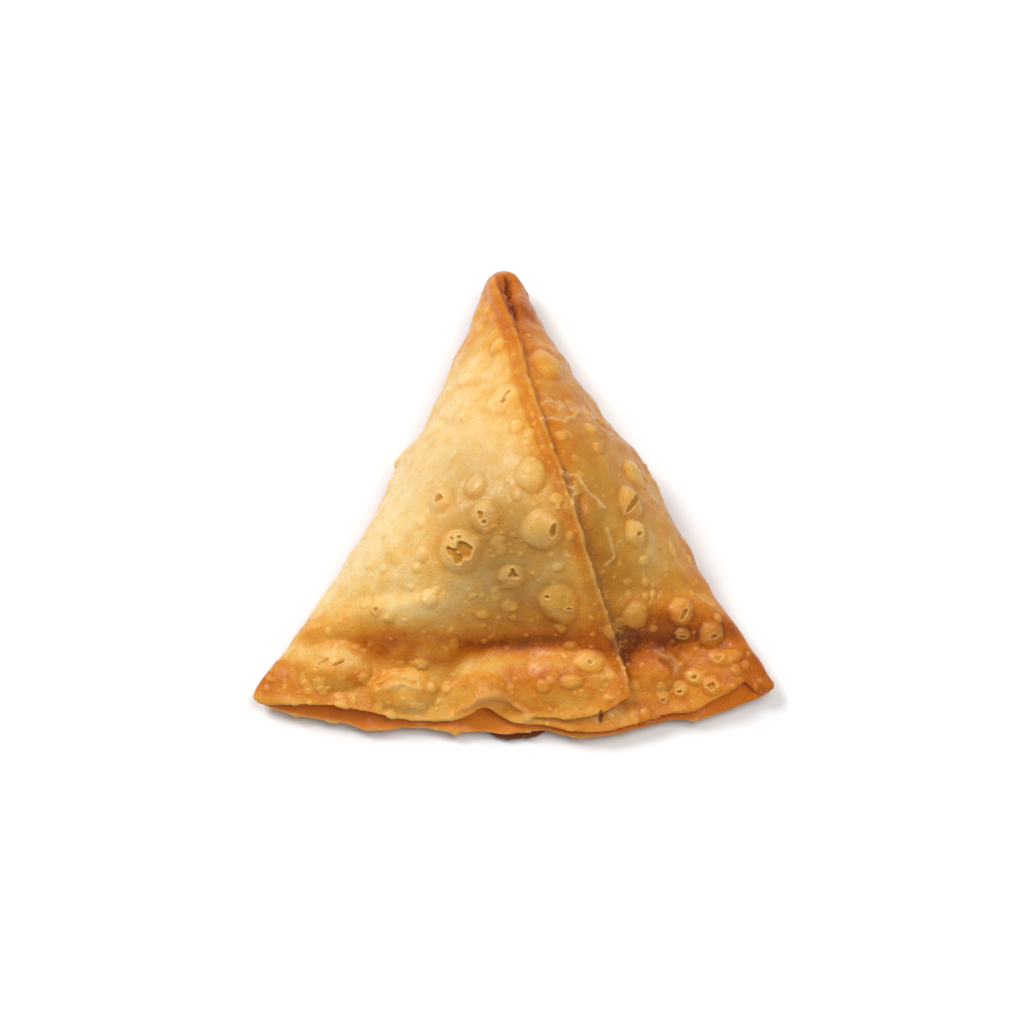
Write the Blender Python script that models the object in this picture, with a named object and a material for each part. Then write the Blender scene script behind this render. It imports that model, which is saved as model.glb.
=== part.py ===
"""A fried samosa: one pastry parcel with a swollen triangular body, a pressed hem
whose two layers part at the corners, and a front flap that laps over the right panel.

It lies on its back panel, with the tip towards +Y and the hem towards -Y.
Run it with: blender --background --factory-startup --python part.py
"""

import math

import bmesh
import bpy
from mathutils import Vector

MM = 0.001

# Driving sizes, in millimetres.
WIDTH = 98.0            # between the two hem corners, before they are rounded
SIDE_LEFT = 85.8        # plan distance from the tip down to the left corner
SIDE_RIGHT = 83.8       # the same to the right corner, which sits a little higher
HEM_DIP = 5.9           # how far the middle of the hem bows out past the corners
HEM_SQUARE = 3.0        # power of that bow: above 2 it is flat in the middle
TIP_OFFSET = -2.0       # the tip leans to the left of the middle
TIP_HALF = 3.1          # half the width of the blunt tip
TIP_ROUND = 3.0         # length over which the tip rounds off
CORNER_ROUND = 3.0      # length over which the side's fold rounds into the hem
DOUGH = 1.7             # thickness of one layer of pastry
SEAL_GAP = 0.3          # the gap left between layers that are pressed together
SLIT_DEPTH = 9.0        # how deep the hem stays open between its two layers
HEM_FRONT_TUCK = 1.2    # the front layer of the hem ends this short of the back layer

# How far each side is drawn in from a straight line, along the parcel from the tip (0) to
# the hem (1). The right side bulges once, a little above its middle.
WAIST_LEFT = ((0.0, 0.0), (0.1, 1.9), (0.2, 3.1), (0.3, 4.2), (0.45, 4.8), (0.6, 4.9), (0.8, 3.3),
              (0.9, 1.8), (1.0, 0.0))
WAIST_RIGHT = ((0.0, 0.0), (0.1, 1.3), (0.2, 2.3), (0.27, 2.2), (0.4, 1.6), (0.45, 1.0), (0.49, -0.3),
               (0.54, -0.2), (0.6, 0.6), (0.74, 1.6), (0.82, 1.3), (0.9, 0.6), (1.0, 0.0))

# The valley between body and hem wanders this far towards the hem, by place across.
VALLEY_SHIFT = ((-48.0, -0.5), (-41.0, -0.5), (-26.0, 1.6), (-20.0, 3.4), (-13.5, 3.7), (-8.0, 1.4),
                (0.0, 0.0), (8.0, 0.5), (16.0, 1.8), (21.0, 1.6), (27.0, 0.6), (42.0, -0.5), (48.0, -0.5))

# Height of the front above the fold line, and depth of the back below it, along the
# parcel from the tip (0) to the hem (1). The fold line is the side's outermost edge.
FRONT_RISE = ((0.0, 2.0), (0.08, 4.2), (0.25, 11.0), (0.45, 18.6), (0.6, 21.6), (0.7, 20.4),
              (0.78, 15.0), (0.84, 7.4), (0.89, 2.0), (0.94, 0.6), (1.0, 0.0))
BACK_DEPTH = ((0.0, 3.4), (0.1, 5.0), (0.3, 8.0), (0.5, 9.6), (0.68, 9.6), (0.8, 7.4),
              (0.9, 3.6), (1.0, 1.7))
FOLD_HEIGHT = ((0.0, 5.6), (0.3, 7.4), (0.6, 8.0), (0.85, 5.4), (1.0, 3.8))

# The opening between the hem's layers: place across the parcel, half width and height.
HEM_OPENINGS = ((-33.0, 17.0, 3.0), (-6.0, 6.0, 3.4), (41.0, 10.0, 2.8))

# Swollen blisters large enough to change the parcel's outline: place across, share of
# the way down the parcel, half sizes across and down, and height.
LARGE_BLISTERS = ((-32.7, 0.902, 7.0, 4.5, 2.0), (-20.2, 0.941, 6.2, 3.6, 1.7),
                  (3.2, 0.909, 14.5, 6.0, 2.3), (26.2, 0.896, 5.8, 4.3, 1.4))

# The front flap.
# Place across of its free edge, along the parcel from the tip (0) to the hem (1).
SEAM = ((0.0, -4.4), (0.08, -3.0), (0.17, -0.7), (0.25, 1.2), (0.34, 2.5), (0.43, 4.4), (0.52, 6.9),
        (0.6, 9.2), (0.7, 12.3), (0.8, 16.0), (0.87, 18.9), (0.94, 21.1), (1.0, 22.8))
FLAP_REACH = 20.0       # how far the flap stays proud of the body, measured at the hem
FLAP_STEP = 1.6         # the flap's free edge stands this proud of the right panel
FLAP_THICK = 2.4        # the flap's solid, part of which lies inside the body
FLAP_SINK = 1.4         # its far edge ends this deep under the body's surface
FLAP_CLEAR = 0.8        # near the tip the flap keeps this clear of the left fold
FLAP_TUCK = 3.6         # the flap's corner ends this short of the body's hem

# Resolution of the faceted surface.
HALF_COLUMNS = 42       # columns across the front, and as many across the back
FLAP_COLUMNS = 14
OUTER_ROWS = 33
FLAP_ROWS = 34
SLIT_ROWS = 3


def smooth(value, low, high):
    """0 below low, 1 above high, and a smooth step between them."""
    share = min(1.0, max(0.0, (value - low) / (high - low)))
    return share * share * (3 - 2 * share)


def along(stations, share):
    """The value of a smooth curve through stations of (share, value)."""
    last = len(stations) - 1
    i = max(k for k in range(last) if share >= stations[k][0] or k == 0)
    (x0, y0), (x1, y1) = stations[i], stations[i + 1]

    def slope(k):
        before, after = stations[max(k - 1, 0)], stations[min(k + 1, last)]
        return (after[1] - before[1]) / (after[0] - before[0])

    step = x1 - x0
    t = min(1.0, (share - x0) / step)
    rise = y1 - y0
    start, end = slope(i) * step, slope(i + 1) * step
    return y0 + t * (start + t * (3 * rise - 2 * start - end + t * (start + end - 2 * rise)))


def tip_rounding(down):
    """0 at the very tip, growing to 1 as a quarter circle over the tip's rounded length."""
    share = min(1.0, down * SIDE_LEFT / TIP_ROUND)
    return math.sqrt(max(0.0, 1 - (1 - share) ** 2))


def sides(down):
    """Places across of the left and right fold lines, at a share down the parcel."""
    half = WIDTH / 2
    left = TIP_OFFSET - TIP_HALF + (half - TIP_HALF + TIP_OFFSET) * -down
    right = TIP_OFFSET + TIP_HALF + (half - TIP_HALF - TIP_OFFSET) * down
    left += along(WAIST_LEFT, down)
    right -= along(WAIST_RIGHT, down)
    turned = max(0.0, 1 - (1 - down) * SIDE_LEFT / CORNER_ROUND)
    pulled_in = 0.6 * CORNER_ROUND * (1 - math.sqrt(1 - turned * turned))
    middle = (left + right) / 2
    reach = ((right - left) / 2 - pulled_in) * tip_rounding(down)
    return middle - reach, middle + reach


def plan(across, down):
    """The point seen from above, for across from -1 to 1 between the fold lines."""
    left, right = sides(down)
    side = SIDE_LEFT + (SIDE_RIGHT - SIDE_LEFT) * (across + 1) / 2
    y = -down * (side + HEM_DIP * (1 - abs(across) ** HEM_SQUARE) * down)
    return left + (right - left) * (across + 1) / 2, y


def hem_gap(x):
    """Height of the opening between the hem's two layers, at a place across."""
    gap = SEAL_GAP
    for centre, reach, height in HEM_OPENINGS:
        gap += height * (1 - smooth(abs(x - centre), 0, reach))
    return gap


def lens(across, down):
    """Share of the full rise at this place: a round cone at the tip, a lens along the
    body, and flat with rounded folds at the hem."""
    flat = smooth(down, 0.78, 0.92)
    belly = smooth(down, 0.05, 0.4) * (1 - flat)
    power = 2.0 + 10.0 * flat
    root = 0.5 + 0.28 * belly
    return max(0.0, 1 - abs(across) ** power) ** root


def blister_rise(x, down):
    rise = 0.0
    for centre, share, reach_across, reach_down, height in LARGE_BLISTERS:
        gone = ((x - centre) / reach_across) ** 2 + ((down - share) * SIDE_LEFT / reach_down) ** 2
        rise += height * max(0.0, 1 - gone) ** 0.9
    return rise


def front_height(across, down, x):
    """Height of the body's front surface above the table."""
    early = down + 0.035 * (1 - across * across) * smooth(down, 0.55, 0.8)
    early -= along(VALLEY_SHIFT, x) / SIDE_LEFT * smooth(down, 0.65, 0.82)
    early += smooth(down, 0.88, 0.95) * (down - early)
    rise = along(FRONT_RISE, min(1.0, early)) + DOUGH + hem_gap(x) * smooth(down, 0.86, 1.0)
    swell = blister_rise(x, down) * smooth(1 - abs(across), 0, 0.08)
    cap = tip_rounding(down)
    return along(FOLD_HEIGHT, down) + (rise * cap + swell) * lens(across, down)


def back_height(across, down):
    """Height of the back surface, flat where it rests on the table."""
    depth = along(BACK_DEPTH, down) * tip_rounding(down)
    return max(0.0, along(FOLD_HEIGHT, down) - depth * lens(across, down))


def front_tuck(across, down):
    """How far the front layer's hem is drawn back from the back layer's."""
    return HEM_FRONT_TUCK * smooth(down, 0.9, 1.0) * smooth(1 - abs(across), 0, 0.15)


def body_point(turn, row):
    """A point of the body's closed surface. turn goes once round the parcel from the right
    fold, over the front; row goes down the outside, round the hem's lip and into the slit."""
    front = turn <= 0.5
    across = math.cos(2 * math.pi * turn)
    if row <= 1.0:
        x, y = plan(across, row)
        if front:
            return x, y + front_tuck(across, row), front_height(across, row, x)
        return x, y, back_height(across, row)

    # Inside the slit: the two inner faces draw together from the lip to the slit's end.
    inward = row - 1.0
    x, y = plan(across, 1.0)
    left, right = sides(1.0)
    inset = DOUGH * smooth(inward, 0.0, 0.2)
    x = (left + right) / 2 + (x - (left + right) / 2) * (1 - 2 * inset / (right - left))
    end = SLIT_DEPTH * inward * (1 - 0.6 * abs(across) ** 6)
    y += end + (front_tuck(across, 1.0) * (1 - inward) if front else 0)
    back_inner = back_height(across, 1.0) + DOUGH
    front_inner = front_height(across, 1.0, x) - DOUGH
    middle = (back_inner + front_inner) / 2
    opening = max(front_inner - back_inner, SEAL_GAP) / 2 * (1 - inward)
    opening *= math.sqrt(min(1.0, (1 - abs(across)) / 0.05))
    return x, y, middle + (opening if front else -opening)


def row_share(share):
    """Spaces the outer rows: closer at the rounded tip and along the hem."""
    return share ** 1.15 if share < 0.5 else 0.5 ** 1.15 + (share - 0.5) * (1 - 0.5 ** 1.15) / 0.5


def make_mesh_object(name, bm, material):
    mesh = bpy.data.meshes.new(name)
    bm.to_mesh(mesh)
    bm.free()
    mesh.materials.append(material)
    mesh.shade_smooth()
    made = bpy.data.objects.new(name, mesh)
    bpy.context.scene.collection.objects.link(made)
    return made


def make_body(material):
    """The swollen parcel: a grid wrapped round the parcel and turned in at the hem, its
    long edges joined, its first row closed at the tip and its last along the slit's end."""
    rows = OUTER_ROWS + SLIT_ROWS
    bm = bmesh.new()
    bmesh.ops.create_grid(bm, x_segments=2 * HALF_COLUMNS, y_segments=rows, size=1)
    for vert in bm.verts:
        turn = (vert.co.x + 1) / 2
        row = (vert.co.y + 1) / 2 * rows
        if row <= OUTER_ROWS:
            place = row_share(row / OUTER_ROWS)
        else:
            place = 1.0 + (row - OUTER_ROWS) / SLIT_ROWS
        vert.co = Vector(body_point(turn, place)) * MM
    bmesh.ops.remove_doubles(bm, verts=bm.verts, dist=0.000002)
    bmesh.ops.recalc_face_normals(bm, faces=bm.faces)
    return make_mesh_object("samosa", bm, material)


def seam(down):
    """Place across of the flap's free edge, at a share down the parcel."""
    return along(SEAM, down)


def flap_point(inward, row):
    """A point of the flap's outer face: inward runs from the free edge (0) to where the flap
    has sunk into the body (1), row from the tip (0) to the flap's own hem (1)."""
    reach = 3.0 + FLAP_REACH * row
    tuck = FLAP_TUCK * (1 - inward) ** 1.5 * smooth(row, 0.6, 1.0)
    down = 0.035 + (0.965 - 0.014 * inward) * row - tuck / (SIDE_LEFT + HEM_DIP)
    x = seam(down) - reach * inward
    left, right = sides(down)
    x = max(x, left + FLAP_CLEAR)
    across = 2 * (x - left) / (right - left) - 1
    _, y = plan(across, down)
    sink = smooth(inward, 0.45, 1.0)
    z = front_height(across, down, x) + FLAP_STEP - (FLAP_STEP + FLAP_SINK) * sink
    return x, y + front_tuck(across, down), z


def make_flap(material):
    """The front flap, as a thin solid that stands proud of the body along its free edge."""
    bm = bmesh.new()
    bmesh.ops.create_grid(bm, x_segments=FLAP_COLUMNS, y_segments=FLAP_ROWS, size=1)
    for vert in bm.verts:
        vert.co = Vector(flap_point((vert.co.x + 1) / 2, (vert.co.y + 1) / 2)) * MM
    if sum(face.normal.z for face in bm.faces) < 0:
        bmesh.ops.reverse_faces(bm, faces=bm.faces)
    bm.normal_update()
    if sum(face.normal.z for face in bm.faces) < 0:
        bmesh.ops.reverse_faces(bm, faces=bm.faces)
    flap = make_mesh_object("flap_tool", bm, material)
    wall = flap.modifiers.new("thickness", "SOLIDIFY")
    wall.thickness = FLAP_THICK * MM
    wall.offset = -1
    flap.hide_render = True
    flap.display_type = "WIRE"
    return flap


def fried_pastry():
    material = bpy.data.materials.new("fried_pastry")
    material.use_nodes = True
    shader = material.node_tree.nodes["Principled BSDF"]
    shader.inputs["Base Color"].default_value = (0.58, 0.31, 0.11, 1)
    shader.inputs["Roughness"].default_value = 0.5
    shader.inputs["Metallic"].default_value = 0.0
    return material


def centre_on_base(obj):
    """Moves the mesh so that the middle of its box's underside is the origin."""
    graph = bpy.context.evaluated_depsgraph_get()
    corners = [Vector(corner) for corner in obj.evaluated_get(graph).bound_box]
    low = Vector([min(c[i] for c in corners) for i in range(3)])
    high = Vector([max(c[i] for c in corners) for i in range(3)])
    return Vector(((low.x + high.x) / 2, (low.y + high.y) / 2, low.z))


def main():
    for old in list(bpy.data.objects):
        bpy.data.objects.remove(old)
    material = fried_pastry()
    samosa = make_body(material)
    flap = make_flap(material)
    join = samosa.modifiers.new("flap", "BOOLEAN")
    join.operation = "UNION"
    join.solver = "EXACT"
    join.object = flap
    bpy.context.view_layer.update()
    offset = centre_on_base(samosa)
    samosa.location = -offset
    flap.location = -offset


main()
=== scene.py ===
"""A samosa browned in hot oil, lying on its back panel, its front flap and pressed hem towards the
viewer.

The crust is one closed skin. Smooth parts give its form: the swollen parcel, the lapped flap,
the bead of dough along the flap's edge and a pleat under the hem. They are fused into one skin,
which is then blistered, torn and puckered as hot oil leaves it, and coloured by how far each
place has browned. Light and shade are painted into that colour too: highlights on the lit sides
of blisters and along the hem's lip, a warm glow on the far sides of blisters, a shadow beside
the flap's free edge, and shade in the creases, the cleft under the tip, the cracks and over the
pleat under the hem.
"""

import math
import random

import bmesh
import bpy
import numpy as np
from mathutils import Matrix, Vector, bvhtree, kdtree, noise


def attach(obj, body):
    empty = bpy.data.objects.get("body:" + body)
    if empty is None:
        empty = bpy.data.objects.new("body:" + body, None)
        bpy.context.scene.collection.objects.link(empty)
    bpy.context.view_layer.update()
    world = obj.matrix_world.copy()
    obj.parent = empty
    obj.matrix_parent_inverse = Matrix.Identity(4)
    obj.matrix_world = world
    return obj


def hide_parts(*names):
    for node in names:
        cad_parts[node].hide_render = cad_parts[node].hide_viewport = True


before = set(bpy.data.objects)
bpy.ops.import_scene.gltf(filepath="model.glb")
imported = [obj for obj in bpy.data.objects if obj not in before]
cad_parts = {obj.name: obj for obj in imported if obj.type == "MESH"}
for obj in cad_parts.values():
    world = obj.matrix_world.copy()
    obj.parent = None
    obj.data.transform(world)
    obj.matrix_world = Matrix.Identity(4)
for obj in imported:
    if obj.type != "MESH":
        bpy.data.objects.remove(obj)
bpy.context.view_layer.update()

MM = 0.001
SKIN_STEP = 0.25     # spacing of the fused skin's points, mm
SKIN_FACES = 192000                     # triangles kept in the finished skin

# ---------------------------------------------------------------- sizes of the parcel, mm
WIDTH = 98.0            # between the hem corners, before they are rounded
SIDE_LEFT = 85.8        # from the tip down to the left corner, seen from above
SIDE_RIGHT = 83.8       # the same, down to the right corner
HEM_DIP = 5.9           # the middle of the hem bows out past the corners
HEM_SQUARE = 3.0        # how squarely that bow turns in at the corners
TIP_OFFSET = -2.0       # the tip lies to the left of the middle
TIP_HALF = 2.9          # half the tip's width
TIP_ROUND = 3.0         # the tip rounds off over this length
TIP_Y = 45.5            # the tip's place; the middle of the parcel's length is at 0
# How far each side is drawn in from a straight line, by share down the parcel.
WAIST_LEFT = ((0.0, 0.0), (0.1, 1.9), (0.16, 3.0), (0.22, 3.5), (0.3, 4.4), (0.42, 4.9),
              (0.46, 3.9), (0.5, 4.6), (0.6, 4.9), (0.7, 4.3), (0.8, 3.3), (0.9, 1.8), (1.0, 0.0))
WAIST_RIGHT = ((0.0, 0.0), (0.1, 1.3), (0.2, 2.3), (0.24, 1.7), (0.28, 2.2), (0.33, 1.7),
               (0.38, 2.1), (0.42, 1.0), (0.46, -0.5), (0.54, -0.1), (0.6, 0.6), (0.68, 0.9),
               (0.74, 1.6), (0.82, 1.3), (0.9, 0.6), (1.0, 0.0))
CORNER_ROUND = 3.0      # the hem's corners round off over this length
DOUGH = 1.7             # one layer of pastry
LIP = 0.8               # the layers thin to this at the hem's edge
SEAL_GAP = 0.3          # between the layers where the hem is pressed shut
SLIT_DEPTH = 9.0        # how far the hem's openings go in
PARCEL_COLUMNS = 440    # points once round the parcel
OUTSIDE_ROWS, LIP_ROWS, SLIT_ROWS = 210, 10, 20     # and down its face, round its lip, inwards

# The valley between the body and the hem wanders this far towards the hem, by place across.
VALLEY_SHIFT = ((-48.0, -0.5), (-41.0, -0.5), (-26.0, 1.6), (-20.0, 3.4), (-13.5, 3.7), (-8.0, 1.4),
                (0.0, 0.0), (8.0, 0.5), (16.0, 1.8), (21.0, 1.6), (27.0, 0.6), (34.0, 0.5),
                (42.0, -0.5), (48.0, -0.5))
VALLEY_FLOOR = 0.885    # the share down the parcel at which its floor lies
# How far the front stands above the folds, how far the back hangs below them, and how high the
# folds are above the table, all by share down the parcel.
FRONT_RISE = ((0.0, 2.0), (0.08, 4.2), (0.25, 11.0), (0.45, 18.6), (0.6, 21.6), (0.7, 20.4),
              (0.78, 15.0), (0.84, 7.4), (0.89, 2.0), (0.94, 0.6), (1.0, 0.0))
BACK_DEPTH = ((0.0, 3.4), (0.1, 5.0), (0.3, 8.0), (0.5, 9.6), (0.68, 9.6), (0.8, 7.4),
              (0.9, 3.6), (1.0, 1.7))
FOLD_HEIGHT = ((0.0, 5.6), (0.3, 7.4), (0.6, 8.0), (0.85, 5.4), (1.0, 3.8))

# The openings between the hem's layers: place across, half width, height.
HEM_OPENINGS = ((-33.0, 17.0, 3.0), (-6.0, 6.0, 3.4), (41.0, 10.0, 2.8))
# How far the front layer's lip is drawn back from the back layer's, by place across.
FRONT_TUCK = ((-48.0, 0.2), (-40.0, 1.0), (-33.0, 1.5), (-27.0, 2.4), (-19.0, 0.8), (-11.0, 1.6),
              (-7.5, 2.2), (-5.0, 3.4), (0.0, 1.6), (5.0, 0.5), (20.0, 0.4), (32.0, 0.8),
              (36.0, 1.6), (40.0, 2.3), (44.0, 3.2), (48.0, 0.2))
# Waves in the back layer's lip, by place across: positive is further out.
HEM_WAVES = ((-48.0, 0.0), (-32.0, -0.3), (-27.0, 0.6), (-19.0, -0.5), (-8.0, 0.2), (-1.0, 0.8),
             (5.5, 0.0), (10.0, 1.1), (17.0, 1.6), (24.0, 0.8), (29.0, 0.0), (34.0, 0.8),
             (40.0, 0.4), (48.0, 0.0))

# The pleat under the hem: its middle and its half sizes.
PLEAT = (0.2, -43.7, 1.15)
PLEAT_HALF = (6.2, 3.4, 0.95)

# Place across of the front flap's free edge, by share down the parcel.
SEAM = ((0.0, -4.4), (0.08, -3.0), (0.17, -0.7), (0.25, 1.2), (0.34, 2.5), (0.43, 4.4),
        (0.52, 6.9), (0.6, 9.2), (0.7, 12.3), (0.8, 16.0), (0.87, 18.9), (0.94, 21.1),
        (1.0, 22.8))
FLAP_TOP = 0.035        # it starts this share down the parcel
FLAP_SHARE = 0.96       # and runs on over this share of it
FLAP_LENGTH = 88.0      # which is this long
FLAP_REACH_TOP = 3.0    # its face reaches this far in from its free edge at the top
FLAP_REACH = 20.0       # and this much further at the hem
FLAP_DEEP = 1.6         # further in, its underside lies this much deeper than at its edges
SEAM_LEAN = 0.93        # its free edge leans: distance from it over distance across
FLAP_STEP = 1.3         # the flap's face stands this far above the dough it lies on
FLAP_EDGE = 0.8         # its thickness at the free edges, where it stands clear
BEAD = 0.5              # radius of the bead of dough along its free edge
BEAD_DROP = 0.45        # the bead's middle lies this far below the flap's face
FLAP_CURL = 1.0         # its lower corner curls up by this much
# How far its hem ends short of the parcel's, by distance in from its lower corner.
FLAP_TUCK = ((0.0, 3.3), (3.5, 2.3), (7.0, 1.4), (10.0, 0.9), (13.5, 0.4), (17.0, 0.1), (23.0, 0.0))

# ---------------------------------------------------------------- frying marks, mm
# Main blisters: place (x, y), half sizes across and down, rise, turn in degrees.
FLAP_BLISTERS = (
    (-3.4, 24.3, 2.0, 2.1, 0.8, 0), (-2.2, 10.9, 3.7, 4.0, 0.9, 20), (0.2, 4.0, 1.5, 1.6, 0.6, 0),
    (2.0, 0.4, 0.9, 0.9, 0.4, 0), (2.6, -5.9, 2.9, 3.6, 1.3, 10), (-7.5, -7.4, 2.2, 2.4, 1.0, 0),
    (-13.6, -8.8, 2.4, 2.6, 0.8, 0), (-5.4, -13.7, 2.9, 3.1, 1.1, 30),
    (-9.7, -19.0, 3.9, 4.1, 1.3, 0), (4.7, -16.3, 3.7, 3.9, 1.3, 0),
    (-0.2, -22.6, 2.6, 2.8, 0.9, 0), (7.8, -26.0, 3.6, 4.6, 1.3, 15),
    (-15.2, -26.5, 1.7, 1.9, 0.5, 0), (-25.5, -26.4, 1.3, 1.4, 0.5, 0),
    (-0.7, -26.4, 1.7, 1.4, 0.5, 0), (-17.7, -21.0, 0.9, 1.0, 0.3, 0),
    (-16.8, -18.8, 1.4, 1.5, 0.4, 0), (-17.0, -12.5, 0.9, 1.7, 0.4, 0),
    (-18.8, -24.1, 0.8, 0.8, 0.3, 0), (-5.5, 34.2, 1.1, 1.1, 0.4, 0),
    (-6.8, 30.3, 1.1, 1.2, 0.4, 0), (-9.3, 18.3, 2.3, 1.6, 0.6, -30),
    (-10.0, 8.5, 1.9, 1.9, 0.5, 0), (-15.3, 8.2, 3.0, 2.6, 0.6, 0),
    (0.1, -10.3, 1.1, 1.2, 0.5, 0), (8.0, -12.8, 0.6, 0.6, 0.3, 0),
    (8.6, -29.6, 1.1, 1.3, 0.5, 0), (10.3, -32.2, 1.4, 0.9, 0.4, 0))
# Puffed places along the hem: place, half sizes across and down, rise, slope of the sides.
SWELLS = (
    (-32.7, -35.2, 7.0, 4.5, 2.2, 0.72), (-20.2, -39.4, 6.2, 3.6, 2.4, 0.60),
    (4.2, -36.9, 14.0, 6.2, 2.1, 1.35), (-6.5, -39.8, 7.0, 3.0, 0.9, 1.3),
    (26.2, -35.0, 5.8, 4.3, 1.4, 0.9))
HEM_BLISTERS = (
    (14.3, -34.6, 3.0, 2.3, 1.0, 0), (10.8, -38.6, 2.4, 1.4, 0.7, 0),
    (5.2, -39.5, 1.3, 1.3, 0.5, 0), (-12.5, -39.3, 0.9, 1.0, 0.4, 0),
    (-18.0, -42.4, 1.0, 0.9, 0.4, 0), (-31.6, -41.0, 1.0, 0.8, 0.3, 0),
    (33.0, -36.7, 2.2, 1.7, 0.8, 0), (30.8, -39.0, 1.6, 1.7, 0.7, 0),
    (35.9, -38.2, 1.8, 1.9, 0.8, 0), (27.7, -40.5, 1.2, 1.2, 0.5, 0),
    (41.4, -35.5, 1.1, 1.2, 0.5, 0), (43.2, -34.1, 0.9, 1.0, 0.4, 0),
    (39.6, -32.4, 3.0, 1.7, 0.8, 20), (36.9, -33.5, 1.8, 1.6, 0.6, 0),
    (-38.5, -38.3, 1.1, 0.8, 0.4, 20), (-34.9, -39.9, 1.3, 1.0, 0.5, 0))
RIGHT_BLISTERS = (
    (6.8, 21.1, 3.6, 4.2, 1.5, 0), (9.1, 2.9, 1.3, 1.3, 0.5, 0), (15.9, 1.9, 1.3, 1.3, 0.5, 0),
    (21.7, -7.4, 3.0, 3.6, 1.4, 10), (22.5, -13.9, 2.4, 2.6, 1.0, 0),
    (22.9, -0.6, 3.2, 3.0, 1.1, 0), (22.2, -27.8, 2.6, 2.8, 0.7, 0),
    (31.1, -26.1, 2.5, 2.8, 1.0, 0), (31.2, -29.8, 1.5, 1.6, 0.7, 0),
    (36.6, -29.3, 2.6, 2.5, 1.1, 0), (24.2, -22.0, 0.9, 1.0, 0.4, 0),
    (25.8, -23.4, 0.8, 0.9, 0.4, 0), (24.4, -24.1, 0.8, 0.8, 0.4, 0),
    (17.0, 10.6, 1.6, 4.2, 0.8, -30))

# Small blisters scattered by chance: how many, smallest and largest half size, rise over size.
SCATTERED = ((140, 0.8, 1.5, 0.30), (800, 0.35, 0.7, 0.32))
STRANDS = 90            # frayed strands beside the flap's edge
# Blisters get a painted highlight on their sides that face this way, roughly towards the key
# lamp, and a painted warm glow on the others, as if light shone through their thin walls.
PALE_SIDE = (-0.6, 0.8, 0.0)

# Soft spots of deeper or paler frying: place, half sizes, amount (negative is paler).
FRY_SPOTS = (
    (-26.0, -8.0, 10.0, 14.0, -0.06), (-12.0, 12.0, 6.0, 10.0, -0.05),
    (-10.0, 26.0, 4.0, 5.0, 0.08), (-2.0, -18.0, 11.0, 7.0, 0.12), (33.0, -28.0, 7.0, 4.0, 0.12),
    (24.0, -17.0, 6.0, 5.0, -0.14), (24.0, -31.5, 6.0, 2.2, 0.02), (-45.0, -37.0, 5.0, 5.0, 0.26),
    (45.0, -35.0, 6.0, 6.0, 0.18), (-36.5, -27.5, 3.5, 2.5, 0.16), (-24.0, -31.0, 9.0, 2.0, 0.16),
    (-1.0, -31.2, 14.0, 1.4, 0.20), (-13.0, -16.0, 8.0, 8.0, 0.10), (4.0, -36.0, 11.0, 3.5, 0.24),
    (-20.6, -38.2, 4.2, 2.0, -0.16), (-33.0, -34.5, 6.0, 4.0, -0.08),
    (12.0, -41.5, 7.0, 2.5, -0.10), (-14.0, -42.0, 8.0, 2.0, -0.08), (36.0, -8.0, 6.0, 8.0, 0.04),
    (20.0, -34.5, 2.5, 4.0, 0.20), (24.0, 0.0, 5.0, 5.0, -0.06), (-28.0, -37.4, 3.0, 1.6, 0.12),
    (-2.0, -31.6, 9.0, 1.6, 0.12), (27.0, -33.8, 5.0, 3.0, 0.12), (9.7, 11.0, 5.0, 8.0, 0.08),
    (16.0, 5.0, 5.0, 6.0, 0.08), (27.0, -26.0, 4.0, 4.0, 0.08), (2.0, 35.0, 3.0, 6.0, 0.14),
    # (20.0, -30.0) darkens the right face beside the flap's lower edge: painted shadow.
    (13.5, -25.5, 2.5, 5.0, -0.08), (20.0, -30.0, 3.0, 3.0, 0.12), (-29.7, -24.0, 6.0, 6.0, 0.06),
    (11.5, -18.0, 2.5, 6.0, 0.05), (-20.8, -12.0, 7.0, 9.0, -0.06), (-4.3, 12.3, 4.0, 6.0, -0.07),
    (46.0, -35.5, 4.0, 4.0, 0.06), (-33.0, -34.5, 4.0, 3.0, 0.05), (27.0, -33.8, 4.0, 2.5, 0.06),
    (-20.8, -31.6, 6.0, 1.8, 0.08), (0.5, -33.5, 5.0, 2.5, 0.06), (24.0, -42.5, 8.0, 3.0, 0.08),
    (14.0, -45.2, 7.0, 1.7, 0.26), (-8.5, 28.0, 3.0, 4.0, 0.08), (-13.0, 17.0, 3.0, 3.0, 0.06),
    (-6.0, 15.0, 2.5, 3.0, 0.05), (1.2, -25.6, 4.0, 3.0, -0.05), (-2.0, -17.0, 7.0, 6.0, 0.06),
    (25.0, -14.0, 5.0, 5.0, -0.05))
# Where the stuffing shows through the crust, or doesn't (negative), in the same way.
FILLING_SPOTS = (
    (-8.0, -6.0, 7.0, 8.0, 0.50), (-2.0, -18.0, 9.0, 8.0, 0.85), (4.0, -27.0, 9.0, 4.0, 0.50),
    (13.5, -14.0, 5.0, 10.0, 0.75), (19.0, -23.0, 6.0, 6.0, 0.60), (14.0, 3.0, 6.0, 8.0, 0.45),
    (23.0, -12.0, 7.0, 11.0, 0.40), (2.0, -5.0, 4.0, 4.0, 0.25), (17.0, -7.0, 5.0, 5.0, 0.20),
    (-2.0, -16.0, 7.0, 6.0, 0.20), (13.0, -25.0, 2.5, 6.0, -0.35), (11.5, -17.0, 2.0, 6.0, -0.70),
    (20.5, -30.5, 5.0, 2.5, -0.60))

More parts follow.
